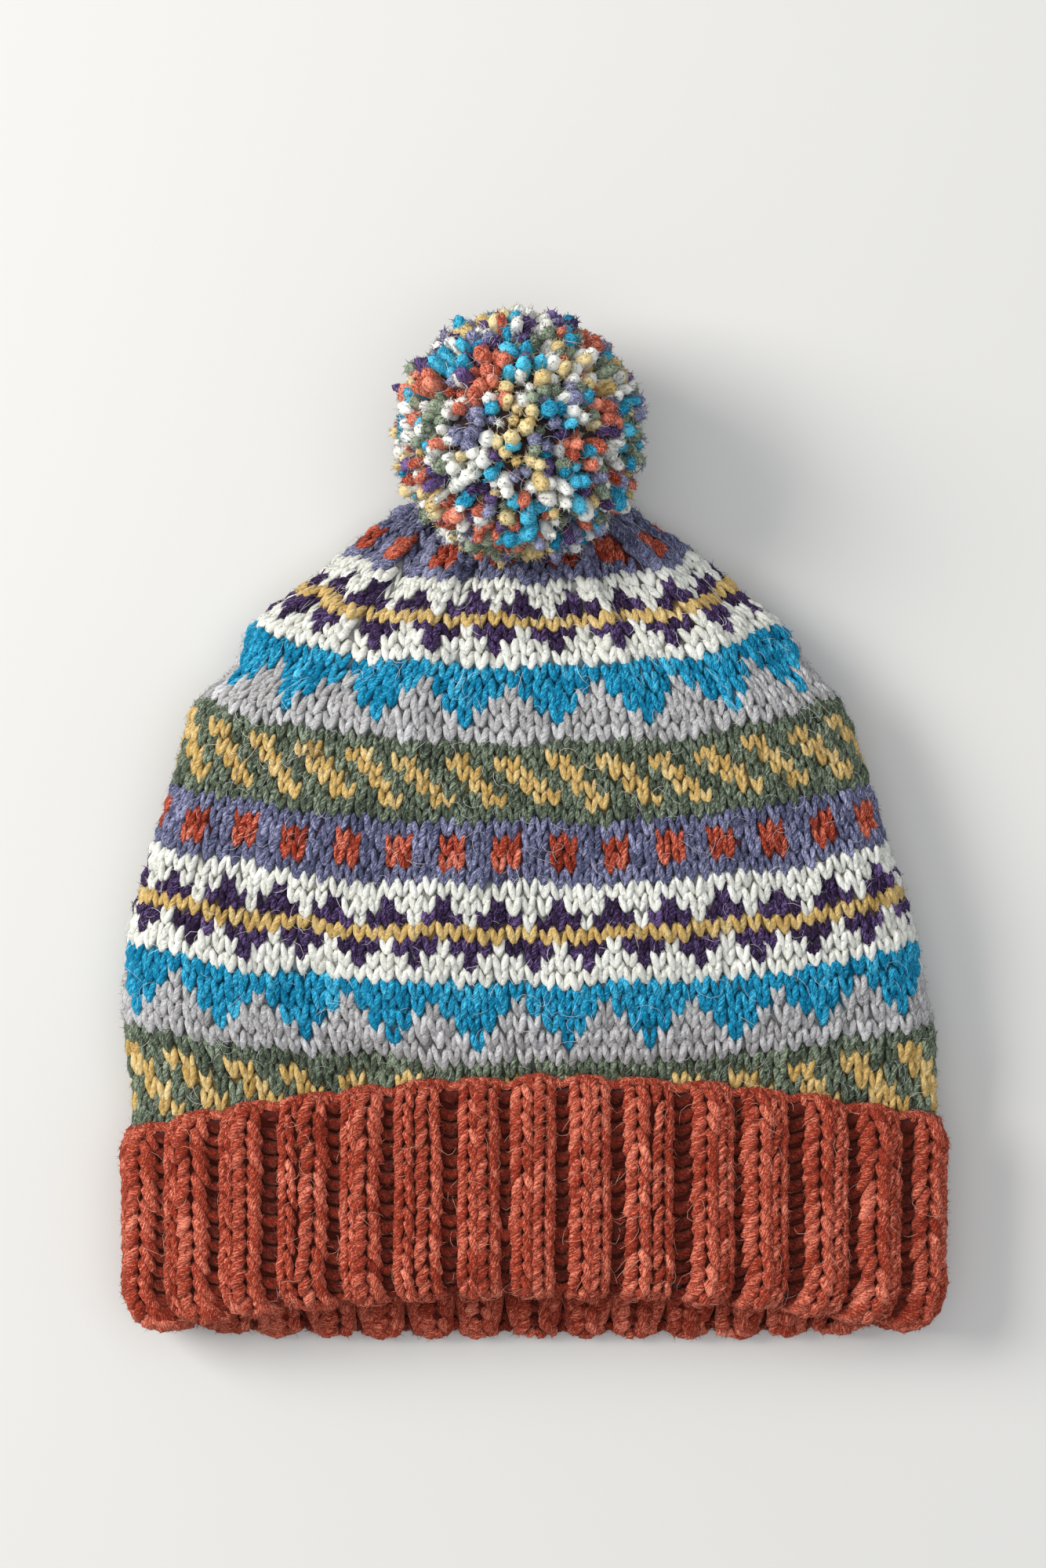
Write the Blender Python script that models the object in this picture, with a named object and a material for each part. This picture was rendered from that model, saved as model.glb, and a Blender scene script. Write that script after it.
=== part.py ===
# Bobble hat with a turned-up rib, lying flat on the floor.
#
# Frame: metres, +Z up, floor at z = 0. The pompom points to +Y and the mouth to -Y.
# The origin is the middle of the hat's footprint. Sizes below are in millimetres.
# "Along" is the distance from the mouth towards the pompom.
# "Turn" is the share of the way round the hat: 0 at the +X side, 0.25 at the middle of the
# upper face, 0.5 at the -X side and 0.75 at the middle of the face that lies on the floor.

import math
import random

import bmesh
import bpy
import numpy as np
from mathutils import Vector
from mathutils.bvhtree import BVHTree

HAT_NAME = "bobble_hat"
MM = 0.001

# The whole hat
MOUTH_TO_ORIGIN = 148.0     # along, of the middle of the footprint
SECTION_POWER = 2.6         # 2 is an ellipse, more is flatter with rounder sides
SECTION_STEPS = 90          # steps used to measure the length round half a section

# Crown: a tube of colourwork, closed down to a small hole at the tip
CROWN_COLUMNS = 48
CROWN_WALL = 3.6            # stranded double-knit wool with its floats
GATHER_COUNT = 12           # folds round the drawn-up tip
CROWN_ROWS = (
    # along, centre, half width, low, high, gather, share of the wall taken along the hat
    (50.0, 0.0, 115.7, 4.7, 29.6, 0.0, 0.0),
    (64.0, 0.0, 115.9, 4.7, 30.2, 0.0, 0.0),
    (78.5, -0.3, 116.2, 4.4, 30.8, 0.0, 0.0),
    (92.0, -1.8, 116.6, -1.5, 36.0, 0.0, 0.0),
    (104.0, -2.8, 115.2, -3.0, 38.5, 0.0, 0.0),
    (116.0, -3.5, 113.7, -3.0, 40.0, 0.0, 0.0),
    (128.0, -3.6, 110.6, -3.0, 41.0, 0.0, 0.0),
    (142.0, -3.8, 106.4, -3.0, 41.3, 0.0, 0.0),
    (158.0, -4.0, 101.4, -3.0, 40.8, 0.0, 0.0),
    (174.0, -4.2, 96.6, -3.0, 39.8, 0.0, 0.0),
    (185.0, -4.7, 92.6, -3.0, 38.8, 0.0, 0.0),
    (194.5, -3.8, 82.9, -3.0, 37.0, 0.2, 0.0),
    (206.0, -5.0, 76.6, -2.5, 34.4, 0.5, 0.0),
    (217.0, -5.0, 63.0, -1.5, 30.6, 0.9, 0.0),
    (228.5, -4.4, 49.2, -0.5, 24.0, 1.3, 0.2),
    (237.5, -5.6, 37.2, 0.5, 16.0, 1.0, 0.5),
    (242.0, -4.8, 27.0, 1.5, 12.2, 0.5, 0.85),
    (244.0, -4.3, 3.0, 5.0, 10.6, 0.0, 1.0),
)

# The soft diagonal dent in the crown's upper face, at the left
DENT_START = (-88.0, 142.0)     # x, along
DENT_END = (-50.0, 80.0)
DENT_DEPTH = 5.0
DENT_WIDTH = 11.0

# Brim: knit-two purl-two rib, folded double
RIBS = 30
COLUMNS_PER_RIB = 4
RIB_HEIGHT = 1.1            # from the middle of the wall to a crest or a valley
RIB_SCALLOP = 0.8           # how far a rib's end stands out at the fold
RIB_PHASE = 1.5             # columns, which bring a crest to the middle of the upper face
PLY = 3.6                   # one thickness of rib
BRIM_ROWS = (
    # along, half width, low, high
    (0.0, 113.5, -2.0, 32.0),
    (6.0, 117.0, -2.2, 33.0),
    (15.0, 119.6, -2.5, 34.0),
    (30.0, 120.6, -2.5, 35.2),
    (55.0, 120.6, -2.5, 35.6),
    (80.0, 120.3, -2.5, 35.0),
)
FOLD_UPPER_MIDDLE = 15.5    # along, where the upper face of the fold lies back
FOLD_LOWER_MIDDLE = 1.0
FOLD_SIDE = 4.5
CAST_ON_MIDDLE = 77.3       # along, of the turned-up edge
CAST_ON_DROP = 13.8         # how much nearer the mouth that edge is at the sides
CAST_ON_LEAN = 1.5          # and how much the +X side is the farther one
BRIM_TOP = 49.6             # along, where the inner ply meets the crown

# One turn round the folded rib: start is "fold", "edge" or "mid" (a share between the two)
BRIM_PROFILE = (
    # start, distance or share, depth from the outer face, rib
    ("fold", 0.0, 4.0, 0.0),
    ("fold", 1.0, 1.4, 0.7),
    ("fold", 4.5, 0.1, 1.0),
    ("mid", 0.36, 0.0, 1.0),
    ("mid", 0.70, 0.0, 1.0),
    ("edge", -3.0, 0.1, 1.0),
    ("edge", -0.8, 0.8, 0.9),
    ("edge", 0.0, 2.1, 0.4),
    ("edge", -1.4, PLY, 0.0),
    ("mid", 0.45, PLY, 0.0),
    ("fold", 5.0, PLY + 0.1, 0.0),
    ("fold", 5.6, PLY + 0.9, 0.0),
    ("top", 0.0, PLY + 1.0, 0.0),
    ("top", 0.0, 2 * PLY + 1.0, -0.6),
    ("mid", 0.30, 2 * PLY + 1.0, -1.0),
    ("fold", 4.5, 2 * PLY + 0.7, -1.0),
    ("fold", 1.0, 2 * PLY - 0.6, -0.5),
)

# Pompom: a ball of cut yarn, resting on the floor and against the crown's tip
POMPOM_CENTRE = (-4.3, 259.3, 35.4)     # x, along, height
POMPOM_HEAD = 32.5
LOCK_REACH = (34.8, 37.2)               # shortest and longest, from the centre
LOCK_GAP = 1.5
LOCK_LEAN = 1.2
CONTACT_GAP = 0.7
CONTACT_SPREAD = 0.13                   # width of the cone of rays that looks for the crown
CONTACT_RAYS = 8
SEED = 7

# Tie: the yarn through the tip's hole
TIE_RADIUS = 2.0
TIE_START = 234.5                       # along, inside the crown
TIE_END = 244.3
TIE_SIDES = 12

COLOURS = {
    "crown": (0.085, 0.31, 0.42, 1.0),      # turquoise, as the widest bands
    "brim": (0.48, 0.065, 0.028, 1.0),      # rust
    "pompom": (0.62, 0.42, 0.24, 1.0),      # a mean of its mixed yarns
    "pompom_tie": (0.48, 0.065, 0.028, 1.0),
}
WOOL_ROUGHNESS = 0.95


def clear_scene():
    for old in list(bpy.data.objects):
        bpy.data.objects.remove(old, do_unlink=True)


def wool(name, colour):
    material = bpy.data.materials.new(f"{name}_wool")
    material.use_nodes = True
    shader = material.node_tree.nodes["Principled BSDF"]
    shader.inputs["Base Color"].default_value = colour
    shader.inputs["Roughness"].default_value = WOOL_ROUGHNESS
    shader.inputs["Metallic"].default_value = 0.0
    return material


def add_piece(mesh_or_object, name, hat, root):
    """Name a piece, give it its material and put it in the hat's collection."""
    piece = mesh_or_object
    if isinstance(piece, bpy.types.Mesh):
        piece = bpy.data.objects.new(name, piece)
    for holder in list(piece.users_collection):
        holder.objects.unlink(piece)
    hat.objects.link(piece)
    piece.name = piece.data.name = name
    piece.data.materials.append(wool(name, COLOURS[name]))
    piece.parent = root
    return piece


def section_points(turns, centre, half, low, high, rest):
    """Points round flattened ovals, evenly spaced along the upper and the lower half.

    A section is a super-ellipse between low and high, pressed flat at the height rest.
    All arguments are arrays with one value for each point.
    """
    points = []
    for turn, mid_x, reach, bottom, top, floor in zip(turns, centre, half, low, high, rest):
        first = 0.0 if turn % 1.0 < 0.5 else math.pi
        angle = np.linspace(first, first + math.pi, SECTION_STEPS + 1)
        power = 2.0 / SECTION_POWER
        across = np.sign(np.cos(angle)) * np.abs(np.cos(angle)) ** power
        upward = np.sign(np.sin(angle)) * np.abs(np.sin(angle)) ** power
        x = mid_x + reach * across
        z = np.maximum((top + bottom) / 2 + (top - bottom) / 2 * upward, floor)
        run = np.concatenate(([0.0], np.cumsum(np.hypot(np.diff(x), np.diff(z)))))
        target = (turn % 0.5) / 0.5 * run[-1]
        points.append((np.interp(target, run, x), np.interp(target, run, z)))
    return np.array(points)


def dent_depth(x, along):
    """Depth of the diagonal dent at points of the crown's upper face."""
    start, end = np.array(DENT_START), np.array(DENT_END)
    line = end - start
    offset = np.stack((x, along), axis=1) - start
    share = np.clip(offset @ line / (line @ line), 0.0, 1.0)
    distance = np.linalg.norm(offset - share[:, None] * line, axis=1)
    return DENT_DEPTH * np.exp(-((distance / DENT_WIDTH) ** 2))


def crown_ring(row, inner):
    """One ring of the crown, on its outer face or, set in by the wall, on its inner face."""
    along, centre, half, low, high, gather, back = row
    turns = np.arange(CROWN_COLUMNS) / CROWN_COLUMNS
    inset = CROWN_WALL * math.sqrt(1.0 - back ** 2) if inner else 0.0
    pleat = gather * np.cos(2 * math.pi * GATHER_COUNT * turns)
    level = np.ones(CROWN_COLUMNS)
    flat = section_points(turns, centre * level, half - inset + pleat, (low + inset) * level,
                          high - inset + pleat, inset * level)
    place = along - (CROWN_WALL * back if inner else 0.0)
    x, z = flat[:, 0], flat[:, 1]
    upper = (turns > 0.0) & (turns < 0.5)
    z = z - np.where(upper, dent_depth(x, place * level), 0.0)
    return np.stack((x, place * level, z), axis=1)


def brim_ring(row, turns, side_share, wave):
    """One ring of the folded rib, at its place on the profile."""
    start, amount, depth, rib = row
    upper = turns < 0.5
    bow = side_share ** 2
    fold = np.where(upper,
                    FOLD_UPPER_MIDDLE + (FOLD_SIDE - FOLD_UPPER_MIDDLE) * bow,
                    FOLD_LOWER_MIDDLE + (FOLD_SIDE - FOLD_LOWER_MIDDLE) * bow ** 2)
    fold = fold - RIB_SCALLOP * wave
    edge = CAST_ON_MIDDLE - CAST_ON_DROP * bow + CAST_ON_LEAN * side_share
    if start == "fold":
        along = fold + amount
    elif start == "edge":
        along = edge + amount
    elif start == "mid":
        along = fold + amount * (edge - fold)
    else:
        along = np.full(len(turns), BRIM_TOP)
    table = np.array(BRIM_ROWS)
    half, low, high = (np.interp(along, table[:, 0], table[:, column]) for column in (1, 2, 3))
    inward = depth - rib * RIB_HEIGHT * wave
    flat = section_points(turns, np.zeros(len(turns)), half - inward, low + inward,
                          high - inward, np.maximum(inward, 0.0))
    return np.stack((flat[:, 0], along, flat[:, 1]), axis=1)


def closed_loft(name, rings):
    """A skin over rings that come back to the first one, as a tube with a thick wall does."""
    mesh = bmesh.new()
    rows = []
    for ring in rings:
        places = ring * MM - np.array((0.0, MOUTH_TO_ORIGIN * MM, 0.0))
        rows.append([mesh.verts.new(place) for place in places])
    for row, beyond in zip(rows, rows[1:] + rows[:1]):
        for column in range(len(row)):
            beside = (column + 1) % len(row)
            mesh.faces.new((row[column], row[beside], beyond[beside], beyond[column]))
    bmesh.ops.recalc_face_normals(mesh, faces=mesh.faces)
    data = bpy.data.meshes.new(name)
    mesh.to_mesh(data)
    mesh.free()
    data.shade_smooth()
    return data


def make_crown():
    outer = [crown_ring(row, inner=False) for row in CROWN_ROWS]
    inner = [crown_ring(row, inner=True) for row in reversed(CROWN_ROWS)]
    return closed_loft("crown", outer + inner)


def make_brim():
    columns = RIBS * COLUMNS_PER_RIB
    turns = (np.arange(columns) + RIB_PHASE) / columns
    level = np.ones(columns)
    middle = BRIM_ROWS[len(BRIM_ROWS) // 2]
    oval = section_points(turns, 0.0 * level, middle[1] * level, middle[2] * level,
                          middle[3] * level, 0.0 * level)
    side_share = oval[:, 0] / middle[1]
    wave = np.where(np.arange(columns) % COLUMNS_PER_RIB < COLUMNS_PER_RIB // 2, 1.0, -1.0)
    rings = [brim_ring(row, turns, side_share, wave) for row in BRIM_PROFILE]
    return closed_loft("brim", rings)


def make_tie():
    length = TIE_END - TIE_START
    place = (POMPOM_CENTRE[0] * MM, (TIE_START + length / 2 - MOUTH_TO_ORIGIN) * MM,
             (CROWN_ROWS[-1][3] + CROWN_ROWS[-1][4]) / 2 * MM)
    bpy.ops.mesh.primitive_cylinder_add(vertices=TIE_SIDES, radius=TIE_RADIUS * MM,
                                        depth=length * MM, location=place,
                                        rotation=(math.pi / 2, 0.0, 0.0))
    return bpy.context.object


def lock_cells():
    """A ball of five- and six-sided cells: one cell round each vertex of an icosphere."""
    ball = bmesh.new()
    bmesh.ops.create_icosphere(ball, subdivisions=3, radius=1.0)
    cells = bmesh.new()
    corner = {}
    for face in ball.faces:
        corner[face.index] = cells.verts.new(face.calc_center_median().normalized())
    for vertex in ball.verts:
        side = vertex.co.orthogonal().normalized()
        other = vertex.co.cross(side)

        def angle(face):
            spoke = face.calc_center_median() - vertex.co
            return math.atan2(spoke.dot(other), spoke.dot(side))

        cells.faces.new([corner[face.index] for face in sorted(vertex.link_faces, key=angle)])
    ball.free()
    return cells


def free_reach(centre, direction, reach, neighbours):
    """How far a lock can go before it meets the floor or a neighbour."""
    if direction.z < 0.0:
        reach = min(reach, centre.z / -direction.z)
    side = direction.orthogonal().normalized()
    other = direction.cross(side)
    rays = [direction]
    for number in range(CONTACT_RAYS):
        angle = 2 * math.pi * number / CONTACT_RAYS
        spread = side * math.cos(angle) + other * math.sin(angle)
        rays.append((direction + CONTACT_SPREAD * spread).normalized())
    for ray in rays:
        distance = neighbours.ray_cast(centre, ray)[3]
        if distance is not None:
            reach = min(reach, distance - CONTACT_GAP * MM)
    return reach


def make_pompom(neighbours):
    """Tapered locks on one head, shortened where the floor or the crown is in their way."""
    chance = random.Random(SEED)
    centre = Vector(POMPOM_CENTRE) * MM - Vector((0.0, MOUTH_TO_ORIGIN * MM, 0.0))
    cells = lock_cells()
    for vertex in cells.verts:
        vertex.co = vertex.co * POMPOM_HEAD * MM
    tips = list(cells.faces)
    bmesh.ops.inset_individual(cells, faces=tips, thickness=LOCK_GAP * MM, use_even_offset=True)
    for tip in tips:
        reach = chance.uniform(*LOCK_REACH) * MM
        lean = Vector([chance.uniform(-LOCK_LEAN, LOCK_LEAN) * MM for _ in range(3)])
        for vertex in tip.verts:
            vertex.co = (vertex.co.normalized() * reach + lean).normalized() * reach
    for vertex in cells.verts:
        direction = vertex.co.normalized()
        free = free_reach(centre, direction, vertex.co.length, neighbours)
        vertex.co = centre + direction * free
    bmesh.ops.recalc_face_normals(cells, faces=cells.faces)
    data = bpy.data.meshes.new("pompom")
    cells.to_mesh(data)
    cells.free()
    data.shade_smooth()
    return data


def tree_of(pieces):
    """One search tree over the faces of several pieces, in world space."""
    joined = bmesh.new()
    for piece in pieces:
        copy = piece.data.copy()
        copy.transform(piece.matrix_basis)
        joined.from_mesh(copy)
        bpy.data.meshes.remove(copy)
    tree = BVHTree.FromBMesh(joined)
    joined.free()
    return tree


def main():
    clear_scene()
    hat = bpy.data.collections.new(HAT_NAME)
    bpy.context.scene.collection.children.link(hat)
    root = bpy.data.objects.new(f"{HAT_NAME}_frame", None)
    hat.objects.link(root)
    crown = add_piece(make_crown(), "crown", hat, root)
    add_piece(make_brim(), "brim", hat, root)
    tie = add_piece(make_tie(), "pompom_tie", hat, root)
    add_piece(make_pompom(tree_of((crown, tie))), "pompom", hat, root)


main()
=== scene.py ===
import bpy
import numpy as np
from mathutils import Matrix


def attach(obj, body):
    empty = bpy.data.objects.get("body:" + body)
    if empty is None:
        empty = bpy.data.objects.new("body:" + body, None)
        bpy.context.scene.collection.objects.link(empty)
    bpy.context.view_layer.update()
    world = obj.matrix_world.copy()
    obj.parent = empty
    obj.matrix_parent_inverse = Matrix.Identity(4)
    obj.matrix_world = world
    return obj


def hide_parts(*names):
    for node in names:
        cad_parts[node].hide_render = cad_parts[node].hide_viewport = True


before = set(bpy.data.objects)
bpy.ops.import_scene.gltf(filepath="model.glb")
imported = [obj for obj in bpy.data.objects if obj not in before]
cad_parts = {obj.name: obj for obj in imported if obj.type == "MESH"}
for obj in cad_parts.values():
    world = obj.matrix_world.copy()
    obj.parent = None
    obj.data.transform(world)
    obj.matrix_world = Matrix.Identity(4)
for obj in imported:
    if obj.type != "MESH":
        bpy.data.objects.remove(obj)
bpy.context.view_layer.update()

mm = 0.001
rng = np.random.default_rng(21)
mouthToOrigin = 148.0  # mm along the hat, of the middle of its footprint
print("frame loaded")


# Surfaces. Lengths are in mm. "along" runs from the mouth to the pompom; "turn" is the share of
# the way round: 0 at the +X side, 0.25 at the middle of the upper face, 0.75 on the floor.

# vectors made 1 long
def unit(vectors):
    return vectors / np.maximum(np.linalg.norm(vectors, axis=-1, keepdims=True), 1e-9)


# values between the rows of a table: a cubic whose slopes are the table's own gradient
def smoothTable(place, values, at):
    place, values = np.array(place, float), np.array(values, float)
    slope = np.gradient(values, place, axis=0)
    low = np.clip(np.searchsorted(place, at) - 1, 0, len(place) - 2)
    wide = [Ellipsis] + [None] * (values.ndim - 1)
    step = (place[low + 1] - place[low])[tuple(wide)]
    t = np.clip((at - place[low])[tuple(wide)] / step, 0, 1)
    ends = (1 + 2 * t) * (1 - t) ** 2 * values[low] + t ** 2 * (3 - 2 * t) * values[low + 1]
    return ends + t * (1 - t) ** 2 * step * slope[low] - t ** 2 * (1 - t) * step * slope[low + 1]


# x and z round flattened ovals: |x|^n + |z|^n = 1 between low and high, pressed flat at rest,
# with turn measured evenly along the upper half and evenly along the lower half
def ovalPoints(turn, centre, half, low, high, rest, power=2.6, steps=90, batch=8000):
    turn, centre, half, low, high, rest = np.broadcast_arrays(turn, centre, half, low, high, rest)
    flat = [a.ravel() for a in (turn, centre, half, low, high, rest)]
    out = np.empty((turn.size, 2))
    for first in range(0, turn.size, batch):
        t, c, h, lo, hi, floor = (a[first:first + batch, None] for a in flat)
        angle = np.where(t % 1 < 0.5, 0, np.pi) + np.linspace(0, np.pi, steps + 1)
        across = np.sign(np.cos(angle)) * np.abs(np.cos(angle)) ** (2 / power)
        upward = np.sign(np.sin(angle)) * np.abs(np.sin(angle)) ** (2 / power)
        x = c + h * across
        z = np.maximum((hi + lo) / 2 + (hi - lo) / 2 * upward, floor)
        run = np.cumsum(np.hypot(np.diff(x, axis=1), np.diff(z, axis=1)), axis=1)
        run = np.concatenate((np.zeros((len(t), 1)), run), axis=1)
        target = (t % 0.5) / 0.5 * run[:, -1:]
        spot = np.clip((run < target).sum(axis=1, keepdims=True) - 1, 0, steps - 1)
        near, far = np.take_along_axis(run, spot, 1), np.take_along_axis(run, spot + 1, 1)
        share = (target - near) / (far - near)
        for column, values in enumerate((x, z)):
            a, b = np.take_along_axis(values, spot, 1), np.take_along_axis(values, spot + 1, 1)
            out[first:first + batch, column] = (a + (b - a) * share)[:, 0]
    return out.reshape(turn.shape + (2,))


# a skin is a grid of places and outward normals. The normal is d(place)/d(turn) x d(place)/d(row)
# where rows run towards the mouth, and its opposite where they run away from it
def makeSkin(places, towardsMouth):
    sideways = np.roll(places, -1, axis=1) - np.roll(places, 1, axis=1)
    normal = np.cross(sideways, np.gradient(places, axis=0)) * (1 if towardsMouth else -1)
    return places, unit(normal)


# a place on a skin: bilinear between grid places, plus lift times the bilinear normal
def onSkin(skin, row, turn, lift):
    places, normals = skin
    rows, turns = places.shape[:2]
    row = np.clip(row, 0, rows - 1.001)
    step = (turn % 1.0) * turns
    i, j = row.astype(int), step.astype(int) % turns
    k = (j + 1) % turns
    f, g = (row - i)[..., None], (step - np.floor(step))[..., None]

    def between(grid):
        return (grid[i, j] * (1 - g) + grid[i, k] * g) * (1 - f) \
            + (grid[i + 1, j] * (1 - g) + grid[i + 1, k] * g) * f

    normal = unit(between(normals))
    return between(places) + normal * np.asarray(lift)[..., None], normal


# a slow wave round the hat, as hand knitting has: three sines of turn and place, at most 1
def slowWave(turn, place, first):
    return (np.sin(2 * np.pi * (first + 4) * turn + 0.07 * place + first)
            + np.sin(2 * np.pi * (first + 8) * turn - 0.11 * place + 2.1 * first)
            + np.sin(2 * np.pi * (first + 13) * turn + 0.05 * place + 3.7 * first)) / 3


crownShape = dict(
    start=50.0, end=244.0, turns=480,
    wall=3.6,
    gathers=12, gatherWander=0.3,  # of a gather's width
    dentStart=(-88.0, 142.0), dentEnd=(-50.0, 80.0), dentDepth=7.0, dentWidth=11.0,
    softness=1.4,  # mm of slow waves in the upper face, as in any cloth that was laid down
    softFrom=85.0, softWithin=20.0,  # mm along, where these waves set in
    rows=(
        # along, centre, half width, low, high, gather
        (50.0, 0.0, 115.7, 4.7, 29.6, 0.0),
        (64.0, 0.0, 115.9, 4.7, 30.2, 0.0),
        (78.5, -0.3, 116.2, 4.4, 30.8, 0.0),
        (92.0, -1.8, 116.6, -1.5, 36.0, 0.0),
        (104.0, -2.8, 115.2, -3.0, 38.5, 0.0),
        (116.0, -3.5, 113.7, -3.0, 40.0, 0.0),
        (128.0, -3.6, 110.6, -3.0, 41.0, 0.0),
        (142.0, -3.8, 106.4, -3.0, 41.3, 0.0),
        (158.0, -4.0, 101.4, -3.0, 40.8, 0.0),
        (174.0, -4.2, 96.6, -3.0, 39.8, 0.4),
        (185.0, -4.7, 92.6, -3.0, 38.8, 0.7),
        (194.5, -3.8, 82.9, -3.0, 37.0, 1.0),
        (206.0, -5.0, 76.6, -2.5, 34.4, 1.4),
        (217.0, -5.0, 63.0, -1.5, 30.6, 1.8),
        (228.5, -4.4, 49.2, -0.5, 24.0, 2.0),
        (237.5, -5.6, 37.2, 0.5, 16.0, 1.0),
        (242.0, -4.8, 27.0, 1.5, 12.2, 0.5),
        (244.0, -4.3, 3.0, 5.0, 10.6, 0.0),
    ),
)


def crownSkin(shape):
    # ovals at each mm along the hat, with uneven gathers as a cosine of the turn; the dent is a
    # Gaussian trough in the upper face, and its slow waves are sines of x and y
    table = np.array(shape["rows"])
    along = np.arange(shape["start"], shape["end"] + 0.5)
    turn = np.arange(shape["turns"]) / shape["turns"]
    centre, half, low, high, gather = smoothTable(table[:, 0], table[:, 1:], along).T[..., None]
    stray = shape["gatherWander"] * slowWave(turn, 0, 1)
    pleat = gather * np.cos(2 * np.pi * (shape["gathers"] * turn + stray))
    flat = ovalPoints(turn[None], centre, half + pleat, low, high + pleat, 0.0)
    x, z, y = flat[..., 0], flat[..., 1], np.repeat(along[:, None], len(turn), axis=1)
    start, line = np.array(shape["dentStart"]), np.subtract(shape["dentEnd"], shape["dentStart"])
    offset = np.stack((x, y), axis=-1) - start
    share = np.clip(offset @ line / (line @ line), 0, 1)[..., None]
    distance = np.linalg.norm(offset - share * line, axis=-1)
    dent = shape["dentDepth"] * np.exp(-((distance / shape["dentWidth"]) ** 2))
    waves = np.sin(x / 17 + y / 31) * np.cos(y / 23 - x / 41) + 0.6 * np.sin(x / 9 - y / 13 + 1.0)
    upper = np.sin(2 * np.pi * turn).clip(0, 1) ** 0.5
    soft = shape["softness"] * np.clip((y - shape["softFrom"]) / shape["softWithin"], 0, 1)
    z = z - upper * (dent - waves * soft)
    return makeSkin(np.stack((x, y, z), axis=-1), False)


ribShape = dict(
    ribs=30, phase=1.5, columnsPerRib=4, turns=960,
    height=1.7,     # mm from the middle of the wall to a crest
    scallop=0.9,    # mm that a crest stands out at the fold and at the cast-on edge
    wander=0.0036,  # of a turn, by which hand-knitted ribs stray
    crest=0.125,    # of a rib's width, the middle of its two knit columns
    flank=0.39, flankWidth=0.05,  # the same, from the crest's middle to its steep side
    section=(-0.0207, 0.292),     # low and high of the cuff's oval over its half width
    pathSteps=260,
    foldUpper=15.5, foldLower=1.0, foldSide=4.5,
    edgeMiddle=77.3, edgeDrop=13.8, edgeLean=1.5, top=49.6,
    length=150,  # mm of path, from the cast-on edge round the fold to the crown
    rows=(
        # along, half width, low, high
        (0.0, 111.4, -2.0, 32.0),
        (6.0, 114.8, -2.2, 33.0),
        (15.0, 117.2, -2.5, 34.0),
        (30.0, 118.1, -2.5, 35.2),
        (55.0, 118.1, -2.5, 35.6),
        (80.0, 117.9, -2.5, 35.0),
    ),
    profile=(
        # from, distance or share, depth from the outer face, rib
        ("edge", -1.6, 3.6, 0.0),
        ("edge", 0.0, 2.1, 0.1),
        ("edge", -1.2, 0.9, 0.3),
        ("edge", -4.6, 0.1, 0.95),
        ("mid", 0.70, 0.0, 1.0),
        ("mid", 0.36, 0.0, 1.0),
        ("fold", 4.5, 0.1, 1.0),
        ("fold", 1.0, 1.4, 0.7),
        ("fold", 0.0, 4.0, 0.0),
        ("fold", 1.0, 6.6, -0.5),
        ("fold", 4.5, 7.9, -1.0),
        ("mid", 0.30, 8.2, -1.0),
        ("top", 0.0, 8.2, -0.6),
    ),
)
turnOfSide = np.arange(ribShape["turns"]) / ribShape["turns"]
sideOfTurn = ovalPoints(turnOfSide, 0.0, 1.0, *ribShape["section"], 0.0)[:, 0]


# how far to the side a turn lies, from -1 to 1
def sideShare(turn):
    return np.interp(turn % 1.0, turnOfSide, sideOfTurn, period=1.0)


# place within a rib, from 0 to 1, with its two knit stitches round the crest
def ribPlace(turn):
    columns = ribShape["ribs"] * ribShape["columnsPerRib"]
    straight = turn - ribShape["wander"] * slowWave(turn, 0, 1)
    return ((straight * columns - ribShape["phase"]) / ribShape["columnsPerRib"]) % 1.0


# along of the turned-up edge: highest in the middle, falling with the square of the side share
def cuffEdge(turn):
    side = sideShare(turn)
    return ribShape["edgeMiddle"] - ribShape["edgeDrop"] * side ** 2 + ribShape["edgeLean"] * side


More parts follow.
